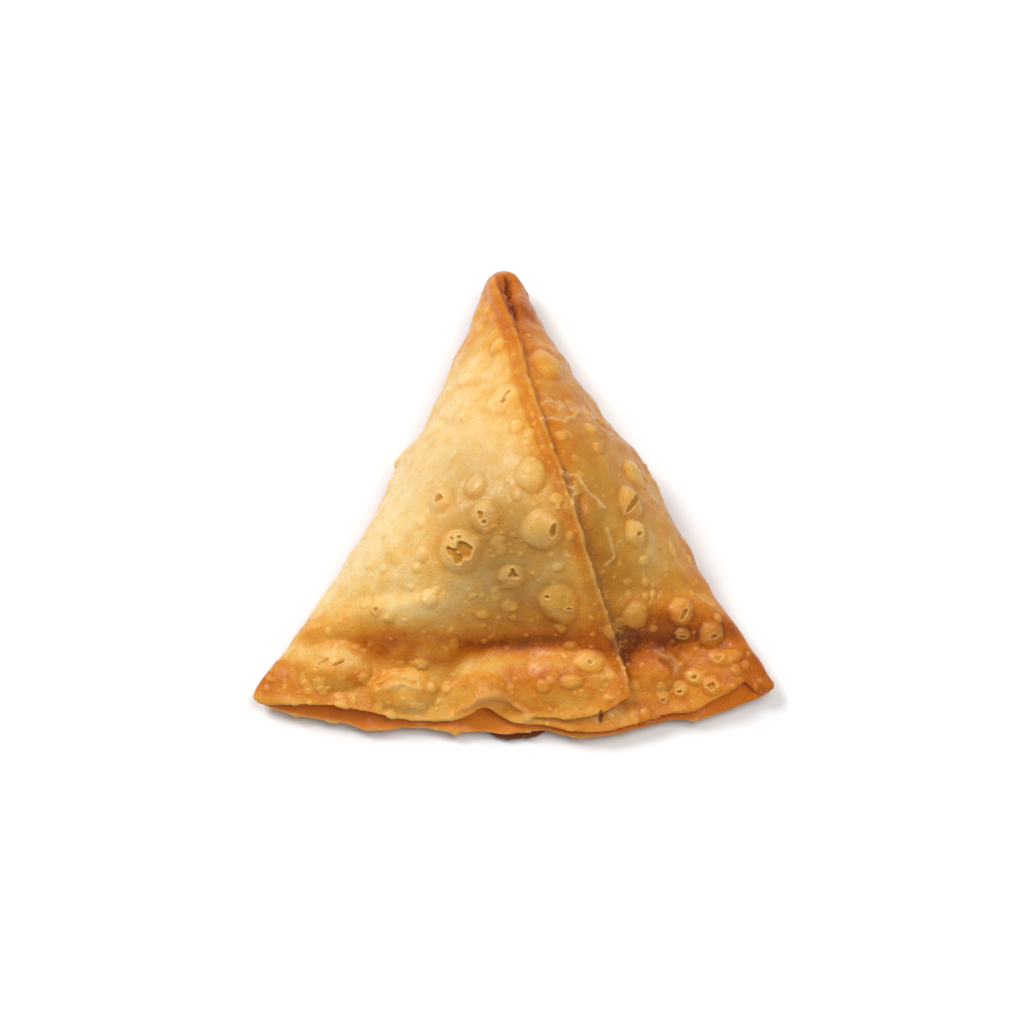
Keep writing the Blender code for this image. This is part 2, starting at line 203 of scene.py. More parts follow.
# Places where a blister has burst: place, half length, half width, turn, number of lobes.
HOLES = (
    (-1.7, 11.3, 1.1, 0.45, 50, 2), (-2.3, 10.0, 0.45, 0.7, 20, 2),
    (-13.7, -8.6, 0.62, 0.66, 0, 0), (-6.0, -13.4, 0.42, 0.50, 0, 0),
    (-5.2, -14.6, 0.28, 0.24, 0, 0), (-8.9, -18.5, 1.00, 1.10, 0, 0),
    (-11.0, -18.7, 0.90, 0.55, -30, 0), (-10.2, -19.7, 0.95, 0.90, 0, 3),
    (-11.1, -16.8, 0.28, 0.24, 0, 0), (-9.9, -16.6, 0.24, 0.24, 0, 0),
    (7.2, -16.1, 0.45, 0.75, -10, 0), (-0.1, -22.0, 0.7, 0.8, 180, 3),
    (6.0, -24.9, 0.25, 0.4, 0, 2), (10.0, -26.6, 0.25, 0.25, 0, 2),
    (-25.5, -26.5, 0.45, 0.4, 0, 3), (-35.0, -34.0, 1.1, 0.25, 25, 2),
    (-31.4, -34.4, 1.0, 0.25, 30, 2), (14.3, -34.7, 0.35, 0.3, 0, 2),
    (21.9, -7.2, 2.0, 0.65, 65, 2), (22.6, -14.0, 0.4, 0.4, 0, 2), (31.4, -26.4, 0.8, 0.5, 60, 2),
    (31.2, -29.9, 0.4, 0.35, 0, 2), (36.6, -29.4, 0.45, 0.4, 0, 2), (36.9, -33.3, 0.6, 0.5, 0, 3),
    (33.1, -36.8, 0.4, 0.35, 0, 2), (30.8, -39.1, 0.4, 0.35, 0, 2), (36.0, -38.2, 0.8, 0.5, 0, 4),
    (27.7, -40.6, 0.3, 0.3, 0, 2))

# Ridges and creases on the front: height, half width, how pale, how much painted shade, then the
# path.
RIDGES = (
    # the torn membrane beside the seam, high up and half way down
    (0.22, 0.32, 0.6, 0.0, ((5.0, 5.2), (7.1, 6.3), (9.3, 5.9), (10.7, 7.4), (11.9, 10.0))),
    (0.20, 0.32, 0.5, 0.0, ((5.0, 9.2), (8.3, 11.5), (9.4, 10.3), (8.3, 8.5))),
    (0.24, 0.34, 0.8, 0.0, ((8.6, -5.7), (11.2, -5.6), (12.2, -6.8), (14.0, -8.6), (15.3, -9.8),
                            (16.4, -10.7))),
    (0.24, 0.34, 0.8, 0.0, ((8.8, -7.7), (11.1, -7.8), (11.3, -8.8), (10.4, -9.7), (10.3, -11.7))),
    (-0.5, 0.70, 0.0, 0.0, ((12.3, -9.2), (12.0, -11.6))),
    (0.22, 0.28, 0.6, 0.0, ((17.0, -14.5), (18.2, -17.5), (16.8, -20.5))),
    # a small crease on the right face, darkened with painted shade
    (-0.35, 0.25, 0.0, 0.2, ((15.6, 9.2), (16.6, 7.9), (17.7, 7.2))),
    # a crack in the layer under the flap's hem, darkened with painted shade
    (-0.35, 0.40, 0.0, 1.0, ((16.0, -43.4), (15.8, -44.6))),
    # the cleft between the flap and the right face, just under the tip, darkened with painted shade
    (-1.1, 0.65, 0.0, 0.7, ((-1.0, 42.4), (-0.9, 38.5))),
    (-0.8, 0.42, 0.0, 0.6, ((-0.9, 38.5), (0.0, 34.5), (0.7, 31.5))),
    # the rolled crest over the hem's middle opening, and the lip running on from it
    (0.7, 0.65, 0.3, 0.0, ((-10.0, -42.8), (-7.0, -41.9), (-4.6, -40.7), (-1.5, -40.5), (1.0, -42.0),
                           (3.0, -44.0))),
    # wrinkles on the swollen hem; the sunken ones are darkened with painted shade
    (-0.30, 0.40, 0.0, 0.0, ((-36.5, -33.4), (-34.3, -34.6), (-33.2, -35.8))),
    (-0.30, 0.40, 0.0, 0.0, ((-24.4, -38.6), (-21.5, -37.4), (-18.0, -38.6))),
    (0.35, 0.50, 0.2, 0.0, ((-23.0, -39.6), (-20.5, -38.6), (-17.0, -39.4))),
    (0.25, 0.80, 0.0, 0.0, ((-9.0, -38.2), (-5.0, -35.8), (0.0, -34.2))),
    (-0.25, 0.35, 0.0, 0.1, ((26.6, -34.0), (28.2, -34.6), (29.0, -36.0))),
    (0.24, 0.50, 0.4, 0.0, ((26.0, -32.9), (29.0, -33.3), (30.4, -34.6), (29.8, -35.9))))

# What frying leaves on each point of the skin, and the light and shade painted into the colours,
# from none (0) to full (1).
MARKS = ("dome", "torn", "crease", "film", "golden", "scorched", "inside", "fried", "filling")


# ---------------------------------------------------------------- form
def smooth(value, low, high):
    """0 below low, 1 above high and a smooth step between them."""
    share = np.clip((value - low) / (high - low), 0.0, 1.0)
    return share * share * (3 - 2 * share)


def hump(value, width):
    """1 where the value is 0, fading smoothly to nothing two widths away."""
    return np.exp(-(value / width) ** 2)


def through(stations, at):
    """A smooth curve through stations of (place, value), read at an array of places."""
    xs, ys = np.array(stations, dtype=float).T
    before = np.maximum(np.arange(len(xs)) - 1, 0)
    after = np.minimum(np.arange(len(xs)) + 1, len(xs) - 1)
    slopes = (ys[after] - ys[before]) / (xs[after] - xs[before])
    at = np.clip(at, xs[0], xs[-1])
    i = np.clip(np.searchsorted(xs, at, side="right") - 1, 0, len(xs) - 2)
    step = xs[i + 1] - xs[i]
    t = (at - xs[i]) / step
    rise = ys[i + 1] - ys[i]
    start, end = slopes[i] * step, slopes[i + 1] * step
    return ys[i] + t * (start + t * (3 * rise - 2 * start - end + t * (start + end - 2 * rise)))


def tip_rounding(down):
    """How much of its full width and height the parcel has near the rounded tip."""
    share = np.minimum(1.0, down * SIDE_LEFT / TIP_ROUND)
    return np.sqrt(np.maximum(0.0, 1 - (1 - share) ** 2))


def sides(down):
    """Places across of the left and right folds, at a share down the parcel."""
    half = WIDTH / 2
    left = TIP_OFFSET - TIP_HALF - (half - TIP_HALF + TIP_OFFSET) * down
    right = TIP_OFFSET + TIP_HALF + (half - TIP_HALF - TIP_OFFSET) * down
    left = left + through(WAIST_LEFT, down)
    right = right - through(WAIST_RIGHT, down)
    turned = np.maximum(0.0, 1 - (1 - down) * SIDE_LEFT / CORNER_ROUND)
    pulled_in = 0.6 * CORNER_ROUND * (1 - np.sqrt(1 - turned * turned))
    middle = (left + right) / 2
    reach = ((right - left) / 2 - pulled_in) * tip_rounding(down)
    return middle - reach, middle + reach


def plan(across, down):
    """The point seen from above, for across from -1 to 1 between the folds."""
    left, right = sides(down)
    side = SIDE_LEFT + (SIDE_RIGHT - SIDE_LEFT) * (across + 1) / 2
    x = left + (right - left) * (across + 1) / 2
    y = -down * (side + HEM_DIP * (1 - np.abs(across) ** HEM_SQUARE) * down)
    return x, y - through(HEM_WAVES, x) * smooth(down, 0.9, 1.0)


def hem_gap(x):
    """How far apart the hem's layers are, by place across."""
    gap = SEAL_GAP
    for centre, reach, height in HEM_OPENINGS:
        gap = gap + height * (1 - smooth(np.abs(x - centre), 0, reach))
    return gap


def lens(across, down):
    """The cross-section, from 1 in the middle to 0 at the folds: full high up, flat at the hem."""
    flat = smooth(down, 0.78, 0.92)
    belly = smooth(down, 0.05, 0.4) * (1 - flat)
    power = 2.0 + 10.0 * flat
    root = 0.5 + 0.28 * belly
    return np.maximum(0.0, 1 - np.abs(across) ** power) ** root


def shape_share(across, down, x):
    """The share at which FRONT_RISE is read: the valley bows and wanders across the parcel."""
    early = down + 0.035 * (1 - across * across) * smooth(down, 0.55, 0.8)
    early = early - through(VALLEY_SHIFT, x) / SIDE_LEFT * smooth(down, 0.65, 0.82)
    return np.minimum(1.0, early + smooth(down, 0.88, 0.95) * (down - early))


def front_height(across, down, x):
    """Height of the front face above the table, without the puffed places."""
    layer = DOUGH + (LIP - DOUGH) * smooth(down, 0.9, 1.0)
    rise = through(FRONT_RISE, shape_share(across, down, x)) + layer
    rise = rise + hem_gap(x) * smooth(down, 0.86, 1.0)
    return through(FOLD_HEIGHT, down) + rise * tip_rounding(down) * lens(across, down)


def back_height(across, down):
    """Height of the back panel above the table."""
    depth = through(BACK_DEPTH, down) * tip_rounding(down)
    return np.maximum(0.0, through(FOLD_HEIGHT, down) - depth * lens(across, down))


def front_tuck(x, across, down):
    """How far the front layer is drawn back near its lip."""
    return through(FRONT_TUCK, x) * smooth(down, 0.9, 1.0) * smooth(1 - np.abs(across), 0, 0.11)


def swell(x, y):
    """How far the puffed places lift the front, seen from above."""
    rise = np.zeros_like(x)
    for place_x, place_y, half_x, half_y, height, slope in SWELLS:
        gone = ((x - place_x) / half_x) ** 2 + ((y + TIP_Y - place_y) / half_y) ** 2
        rise = rise + height * np.maximum(0.0, 1 - gone ** 1.15) ** slope
    return rise


def outside(across, down, front):
    """Points of the parcel's outer face; front is a mask, the rest is the back panel."""
    x, y = plan(across, down)
    y = y + np.where(front, front_tuck(x, across, down), 0.0)
    z = np.where(front, front_height(across, down, x) + swell(x, y), back_height(across, down))
    return x, y, z


def parcel_points(turn, row):
    """The parcel's closed face. turn goes once round from the right fold over the front; row
    goes down the outside (to 1), round the lip (to 2) and into the slit (to 3)."""
    front = turn <= 0.5
    across = np.cos(2 * math.pi * turn)
    x, y, z = outside(across, np.minimum(row, 1.0), front)
    up = np.where(front, -1.0, 1.0)
    around = np.clip(row - 1.0, 0.0, 1.0) * math.pi
    inward = np.clip(row - 2.0, 0.0, 1.0)
    mouth = np.ones_like(row)
    left, right = sides(mouth)
    middle = (left + right) / 2
    inset = LIP / 2 * (1 - np.cos(around))
    turned_x = middle + (x - middle) * (1 - 2 * inset / (right - left))
    lip = np.sin(around) * LIP / 2
    in_z = z + up * inset
    depth = SLIT_DEPTH * inward * (1 - 0.6 * np.abs(across) ** 6)
    tuck = np.where(front, front_tuck(x, across, mouth), 0.0)
    in_y = np.where(row > 2.0, y - tuck + depth + tuck * (1 - inward), y - lip)
    layer = LIP + (DOUGH - LIP) * smooth(inward, 0.0, 0.5)
    front_in = front_height(across, mouth, x) - layer
    back_in = back_height(across, mouth) + layer
    opening = np.maximum(front_in - back_in, SEAL_GAP) / 2 * (1 - inward)
    opening = opening * np.sqrt(np.minimum(1.0, (1 - np.abs(across)) / 0.05))
    slit_z = (front_in + back_in) / 2 - up * opening
    in_z = np.where(row > 2.0, slit_z, in_z)
    out = row <= 1.0
    return np.where(out, x, turned_x), np.where(out, y, in_y), np.where(out, z, in_z)


def flap_points(inward, row):
    """The flap's outer face: inward from the free edge (0) to where it has sunk in (1)."""
    reach = FLAP_REACH_TOP + FLAP_REACH * row
    from_edge = reach * inward
    tuck = through(FLAP_TUCK, from_edge) * smooth(row, 0.6, 1.0)
    down = FLAP_TOP + FLAP_SHARE * row - tuck / (SIDE_LEFT + HEM_DIP)
    frayed = 0.14 * np.sin(row * 71) * np.sin(row * 23 + 1) + 0.07 * np.sin(row * 190)
    x = through(SEAM, down) - from_edge + frayed * (1 - smooth(from_edge, 0.0, 1.5))
    left, right = sides(down)
    x = np.maximum(x, left + 1.0)
    across = 2 * (x - left) / (right - left) - 1
    y = plan(across, down)[1] + front_tuck(x, across, down)
    sink = smooth(inward, 0.25 + 0.45 * smooth(row, 0.8, 1.0), 1.0)
    curl = FLAP_CURL * smooth(row, 0.84, 1.0) * hump(from_edge, 7.0)
    z = front_height(across, down, x) + swell(x, y) + curl + FLAP_STEP - (FLAP_STEP + 0.5) * sink
    return x, y, z


def place(x, y):
    """Across and down for places seen from above: plan the other way round."""
    down = np.clip(-y / (SIDE_LEFT + HEM_DIP), 0.001, 1.0)
    for _ in range(6):
        left, right = sides(down)
        across = np.clip(2 * (x - left) / np.maximum(right - left, 0.5) - 1, -1, 1)
        side = SIDE_LEFT + (SIDE_RIGHT - SIDE_LEFT) * (across + 1) / 2
        length = side + HEM_DIP * (1 - np.abs(across) ** HEM_SQUARE) * down
        down = np.clip(-y / length, 0.001, 1.0)
    return across, down


def as_mesh(name, bm):
    """A new mesh from a bmesh, which is freed."""
    mesh = bpy.data.meshes.new(name)
    bm.to_mesh(mesh)
    bm.free()
    return mesh


def linked(name, data):
    """A new object in the scene, at the origin and unturned."""
    made = bpy.data.objects.new(name, data)
    bpy.context.scene.collection.objects.link(made)
    return made


def modified(mesh, kind, settings):
    """The mesh that one modifier makes of this one."""
    holder = linked("holder", mesh)
    step = holder.modifiers.new("step", kind)
    for name, value in settings.items():
        setattr(step, name, value)
    graph = bpy.context.evaluated_depsgraph_get()
    made = bpy.data.meshes.new_from_object(holder.evaluated_get(graph))
    bpy.data.objects.remove(holder)
    return made


def grid_mesh(name, columns, rows, shape):
    """A flat grid whose points are moved by shape(u, v), both from 0 to 1."""
    bm = bmesh.new()
    bmesh.ops.create_grid(bm, x_segments=columns, y_segments=rows, size=1)
    mesh = as_mesh(name, bm)
    flat = np.empty(len(mesh.vertices) * 3)
    mesh.vertices.foreach_get("co", flat)
    flat = flat.reshape(-1, 3)
    x, y, z = shape((flat[:, 0] + 1) / 2, (flat[:, 1] + 1) / 2)
    mesh.vertices.foreach_set("co", (np.stack([x, y + TIP_Y, z], axis=1) * MM).ravel())
    mesh.update()
    return mesh


def closed(mesh):
    """Welds a wrapped grid's edges together and turns its faces outwards."""
    bm = bmesh.new()
    bm.from_mesh(mesh)
    bmesh.ops.remove_doubles(bm, verts=bm.verts, dist=0.000002)
    holes = [edge for edge in bm.edges if edge.is_boundary]
    if holes:
        bmesh.ops.holes_fill(bm, edges=holes, sides=0)
    bmesh.ops.recalc_face_normals(bm, faces=bm.faces)
    bm.to_mesh(mesh)
    bm.free()
    return mesh


def parcel():
    """The parcel as a closed skin: its faces, the lip round its hem and the slit between."""
    lip_end = OUTSIDE_ROWS + LIP_ROWS

    def shape(u, v):
        step = v * (lip_end + SLIT_ROWS)
        round_lip = 1 + (step - OUTSIDE_ROWS) / LIP_ROWS
        into_slit = 2 + (step - lip_end) / SLIT_ROWS
        row = np.where(step <= lip_end, round_lip, into_slit)
        return parcel_points(u, np.where(step <= OUTSIDE_ROWS, step / OUTSIDE_ROWS, row))

    return closed(grid_mesh("parcel", PARCEL_COLUMNS, lip_end + SLIT_ROWS, shape))


def flap():
    """The flap as a closed sheet: over its outer face, round its edge and back beneath."""
    edge = 0.02             # the share of the way inward taken by the rounded edge

    def shape(u, v):
        beneath = u > 0.5
        inward = np.abs(1 - 2 * u)
        row = np.clip(v, 0, 1)
        inward_free = np.clip((inward - edge) / (1 - edge), 0, 1)
        x, y, z = flap_points(inward_free, row)
        reach = FLAP_REACH_TOP + FLAP_REACH * row
        margin = np.minimum(reach * inward_free, FLAP_LENGTH * (1 - row))
        thick = FLAP_EDGE + FLAP_DEEP * smooth(margin, 1.2, 4.5)
        end = np.sqrt(np.clip(np.minimum(row, 1 - row) / 0.006, 0, 1))
        side = np.sqrt(np.clip(np.minimum(inward, 1 - inward) / edge, 0, 1))
        z = z - np.where(beneath, thick * end * side, 0.0)
        return x, y, z

    return closed(grid_mesh("flap", 200, 320, shape))


def bead(name, path, radius):
    """A rounded bead of dough along a path: an array of points, and a radius at each."""
    path = np.asarray(path)
    along = np.gradient(path, axis=0)
    along /= np.linalg.norm(along, axis=1)[:, None]
    side = np.cross(along, (0, 0, 1.0))
    side /= np.linalg.norm(side, axis=1)[:, None]
    rise = np.cross(side, along)
    count = len(path)
    ends = np.minimum(np.arange(count), np.arange(count)[::-1]) / 4
    radius = radius * np.sqrt(np.clip(ends, 0, 1))

    def shape(u, v):
        i = np.clip(np.round(v * (count - 1)).astype(int), 0, count - 1)
        angle = 2 * math.pi * u
        out = path[i] + radius[i][:, None] * (np.cos(angle)[:, None] * side[i]
                                              + np.sin(angle)[:, None] * rise[i])
        return out[:, 0], out[:, 1], out[:, 2]

    return closed(grid_mesh(name, 12, count - 1, shape))


def fuse(parts):
    """Fuses closed parts into one skin with evenly spaced points, and keeps its outer shell."""
    bm = bmesh.new()
    for part in parts:
        bm.from_mesh(part)
    skin = modified(as_mesh("parts", bm), "REMESH", {"mode": "VOXEL", "voxel_size": SKIN_STEP * MM})
    keep_largest(skin)
    return skin


def keep_largest(mesh):
    """Deletes every loose part of the mesh but the one with the most points."""
    bm = bmesh.new()
    bm.from_mesh(mesh)
    bm.verts.ensure_lookup_table()
    seen = np.zeros(len(bm.verts), dtype=bool)
    islands = []
    for first in range(len(bm.verts)):
        if seen[first]:
            continue
        seen[first] = True
        queue = [bm.verts[first]]
        for vert in queue:
            for edge in vert.link_edges:
                other = edge.other_vert(vert)
                if not seen[other.index]:
                    seen[other.index] = True
                    queue.append(other)
        islands.append(queue)
    islands.sort(key=len)
    for island in islands[:-1]:
        bmesh.ops.delete(bm, geom=island, context="VERTS")
    bm.to_mesh(mesh)
    bm.free()


def pleat():
    """The back layer's pleat: a flattened knuckle of dough under the middle of the hem."""
    bm = bmesh.new()
    bmesh.ops.create_icosphere(bm, subdivisions=5, radius=1)
    bmesh.ops.scale(bm, vec=[half * MM for half in PLEAT_HALF], verts=bm.verts)
    bmesh.ops.translate(bm, vec=[at * MM for at in PLEAT], verts=bm.verts)
    return as_mesh("pleat", bm)


def main_skin():
    """The parcel, its flap with a bead of dough along the free edge, and the pleat, as one."""
    rows = np.linspace(0.0, 1.0, 300)
    edge = np.stack(flap_points(np.full_like(rows, 0.02), rows), axis=1)
    edge[:, 2] -= BEAD_DROP
    lip = bead("lip", edge, BEAD + 0.06 * np.sin(rows * 37) + 0.06 * np.sin(rows * 91))
    return fuse([parcel(), flap(), lip, pleat()])


def frayed_strands(crust_tree):
    """Fine strands of dried dough pulled from the flap's edge onto the crust beside it."""
    rng = random.Random(5)
    bm = bmesh.new()
    for _ in range(STRANDS):
        down = rng.uniform(0.56, 0.90)
        x = float(through(SEAM, np.array(down))) + rng.uniform(0.5, 1.0)
        y = TIP_Y - down * (SIDE_LEFT + 2.6)
        length = rng.uniform(0.5, 1.3) * (1 - 0.6 * abs(down - 0.72) / 0.2)
        heading = math.radians(rng.uniform(-40, 15))
        start = Vector((x, y, 0)) * MM
        end = start + Vector((math.cos(heading), math.sin(heading), 0)) * length * MM
        for point, clear in ((start, rng.uniform(0.03, 0.15)), (end, 0.02)):
            hit = crust_tree.ray_cast(Vector((point.x, point.y, 0.08)), Vector((0, 0, -1)))[0]
            point.z = hit.z + clear * MM
        along = end - start
        turn = along.to_track_quat("Z", "Y").to_matrix().to_4x4()
        middle = Matrix.Translation((start + end) / 2)
        thick = rng.uniform(0.025, 0.045) * MM
        bmesh.ops.create_cone(bm, cap_ends=True, segments=6, radius1=thick, radius2=thick * 0.5,
                              depth=along.length, matrix=middle @ turn)
    return as_mesh("frayed_strands", bm)


# ---------------------------------------------------------------- what frying does
def between_layers(points):
    """1 on the faces inside the hem's openings, fading at their lips."""
    x, y, z = points.T
    across, down = place(x, y - TIP_Y)
    mouth = np.ones_like(down)
    front_in = front_height(across, mouth, x) - LIP
    back_in = back_height(across, mouth) + LIP
    over_back = smooth(z, back_in - 0.25, back_in + 0.05)
    return over_back * (1 - smooth(z, front_in - 0.05, front_in + 0.2)) * smooth(down, 0.86, 0.90)


class Skin:
    """The crust's points, their outward directions, and what frying has done at each, with the
    light and shade painted into its colour.
    """

    def __init__(self, mesh):
        count = len(mesh.vertices)
        self.co = np.empty(count * 3)
        mesh.vertices.foreach_get("co", self.co)
        self.co = self.co.reshape(-1, 3) / MM
        self.out = np.empty(count * 3)
        mesh.vertices.foreach_get("normal", self.out)
        self.out = self.out.reshape(-1, 3)
        for name in ("lift", "rim", "pit") + MARKS:
            setattr(self, name, np.zeros(count))
        self.inside = between_layers(self.co)
        # how far a drawn path or a line's width strays from true at each point
        self.wander = np.array([[0.6 * noise.noise((x / 1.8, y / 1.8, level)) for level in (3.0, 9.0)]
                                for x, y, z in self.co])
        self.tree = kdtree.KDTree(count)
        for i, point in enumerate(self.co):
            self.tree.insert(point, i)
        self.tree.balance()

    def above(self, x, y):
        """The index of the highest point of the skin near a place seen from above."""
        near = np.flatnonzero(np.hypot(self.co[:, 0] - x, self.co[:, 1] - y) < 0.6)
        return near[np.argmax(self.co[near, 2])]

    def patch(self, centre, reach, turn=0.0):
        """Points within reach of a point and facing its way, with their places in a frame
        that lies on the skin there, its first axis turned from the direction across."""
        found = np.array([i for _, i, _ in self.tree.find_range(self.co[centre], reach)])
        facing = (self.out[found] @ self.out[centre] > 0.25) & (self.inside[found] < 0.5)
        found = found[facing]
        out = self.out[centre]
        first = np.array((1.0, 0.0, 0.0)) - out[0] * out
        if np.linalg.norm(first) < 0.3:
            first = np.array((0.0, 1.0, 0.0)) - out[1] * out
        first /= np.linalg.norm(first)
        second = np.cross(out, first)
        angle = math.radians(turn)
        axis_a = math.cos(angle) * first + math.sin(angle) * second
        axis_b = -math.sin(angle) * first + math.cos(angle) * second
        away = self.co[found] - self.co[centre]
        return found, away @ axis_a, away @ axis_b


def wobbly(a, b, rng, amount):
    """1 plus a gentle irregularity that depends on the direction of (a, b)."""
    angle = np.arctan2(b, a)
    wave = np.ones_like(angle)
    for lobes, share in ((2, 0.9), (3, 0.8), (4, 0.5), (6, 0.3)):
        wave += amount * share * np.cos(lobes * angle + rng.uniform(0, 2 * math.pi))
    return wave


def blister(skin, centre, half_a, half_b, rise, turn, rng):
    """Raises one blister: a steep-sided dome with a faint groove round its foot. It also paints
    shade into that groove, a highlight on its side towards the key lamp and a warm glow opposite.
    """
    found, a, b = skin.patch(centre, max(half_a, half_b) * 1.5 + 0.3, turn)
    gone = np.hypot(a / half_a, b / half_b) * wobbly(a / half_a, b / half_b, rng, 0.032)
    dome = np.maximum(0.0, 1 - gone ** 2.4) ** 0.95
    foot = hump(gone - 1.05, 0.16)
    skin.lift[found] += 0.85 * rise * dome - 0.05 * min(rise, 1.0) * foot
    pale = rng.uniform(0.4, 1.0)
    skin.dome[found] = np.maximum(skin.dome[found], pale * smooth(1.1 - gone, 0.0, 0.6))
    # Painted shade in the groove round the blister's foot.
    skin.crease[found] = np.maximum(skin.crease[found], 0.7 * foot * min(1.0, rise / 0.8))
    # Painted light: a highlight on the side that faces the key lamp and a warm glow on the side away
    # from it, as if light shone through the thin wall.
    lean = (skin.co[found] - skin.co[centre]) @ PALE_SIDE / max(half_a, half_b)
    wall = hump(gone - 0.68, 0.28) * min(1.0, rise / 0.6)
    skin.film[found] = np.maximum(skin.film[found], 0.45 * wall * smooth(lean, 0.2, 0.8))
    skin.golden[found] = np.maximum(skin.golden[found], wall * smooth(-lean, 0.1, 0.8))


def burst(skin, centre, half_a, half_b, turn, lobes, rng):
    """Opens a ragged hole in the skin, its thin rim curled slightly outwards."""
    found, a, b = skin.patch(centre, max(half_a, half_b) * 2.0 + 0.8, turn)
    angle = np.arctan2(b / half_b, a / half_a)
    phase = math.pi / 2 if lobes == 3 else math.pi
    ragged = wobbly(a, b, rng, 0.09) + 0.22 * np.cos(lobes * angle + phase)
    size = (half_a + half_b) / 2
    gone = (np.hypot(a / half_a, b / half_b) * ragged - 1) * size
    inside = smooth(-gone, -0.10, 0.16)
    rim = hump(gone - 0.22, 0.17)
    skin.rim[found] = np.maximum(skin.rim[found], rim)
    skin.pit[found] = np.maximum(skin.pit[found], (0.42 + 0.30 * size) * inside)
    skin.torn[found] = np.maximum(skin.torn[found], inside)


def scatter_blisters(skin, rng):
    """Small blisters all over, some in clusters, more of them low down and on the hem."""
    count = len(skin.co)
    for wanted, low, high, share in SCATTERED:
        made = 0
        while made < wanted:
            centre = rng.randrange(count)
            x, y, z = skin.co[centre]
            crowd = noise.noise((x / 7 + 40, y / 7, z / 7))
            if rng.random() > 0.45 + 0.9 * crowd - 0.010 * y:
                continue
            made += 1
            size = low + (high - low) * rng.random() ** 2
            blister(skin, centre, size * rng.uniform(0.85, 1.25), size * rng.uniform(0.85, 1.2),
                    size * share * rng.uniform(0.6, 1.2), rng.uniform(0, 180), rng)


def near_path(skin, path, half_width):
    """1 on a path drawn over the front, seen from above, fading to nothing beside it."""
    places = skin.co[:, :2] + skin.wander
    nearest = np.full(len(places), 1e9)
    for start, end in zip(path, path[1:]):
        start, along = np.array(start), np.array(end) - np.array(start)
        share = np.clip((places - start) @ along / (along @ along), 0, 1)
        away = places - start - share[:, None] * along
        nearest = np.minimum(nearest, np.linalg.norm(away, axis=1))
    width = half_width * (1 + 1.2 * skin.wander[:, 0])
    return hump(nearest, width) * smooth(skin.out[:, 2], 0.05, 0.4)


def crease_and_fold(skin):
    """Ridges and wrinkles, and the flap's edge: rolled, with a groove behind it and a pale rim."""
    for height, half_width, film, scorched, path in RIDGES:
        share = near_path(skin, path, half_width)
        skin.lift += height * share
        skin.film = np.maximum(skin.film, film * share)
        # painted shade in the cleft, the crack and some wrinkles
        skin.scorched = np.maximum(skin.scorched, scorched * share)
        # Sunken ridges get painted shade in their creases.
        if height < 0:
            skin.crease = np.maximum(skin.crease, share)
    x, y, z = skin.co.T
    across, down = place(x, y - TIP_Y)
    inward = (through(SEAM, down) - x) * SEAM_LEAN
    front = smooth(skin.out[:, 2], 0.1, 0.4) * smooth(down, 0.04, 0.10)
    rolled = hump(inward - 1.0, 0.6)
    groove = hump(inward - 2.2, 0.45) * smooth(y, -12.0, 4.0)
    skin.lift += front * (0.16 * rolled - 0.26 * groove)
    # Painted shade in the groove behind the flap's edge.
    skin.crease = np.maximum(skin.crease, 0.4 * groove * front)
    rim = hump(inward - 0.25, 0.35) * smooth(-y, 2.0, 14.0) * smooth(y, -39.0, -37.0)
    skin.film = np.maximum(skin.film, 0.40 * rim * front)


def uneven(skin):
    """Slow waves and lumps of hand-rolled dough."""
    lumps = np.zeros(len(skin.co))
    for height, size in ((0.42, 9), (0.32, 3.4), (0.06, 1.1)):
        lumps += height * np.array([noise.noise(point) for point in skin.co / size])
    skin.lift += lumps


def soft_spot(skin, x, y, half_x, half_y):
    """1 at the middle of a soft spot on the front, fading to nothing around it."""
    gone = ((skin.co[:, 0] - x) / half_x) ** 2 + ((skin.co[:, 1] - y) / half_y) ** 2
    return np.exp(-gone) * smooth(skin.out[:, 2], -0.35, 0.1)


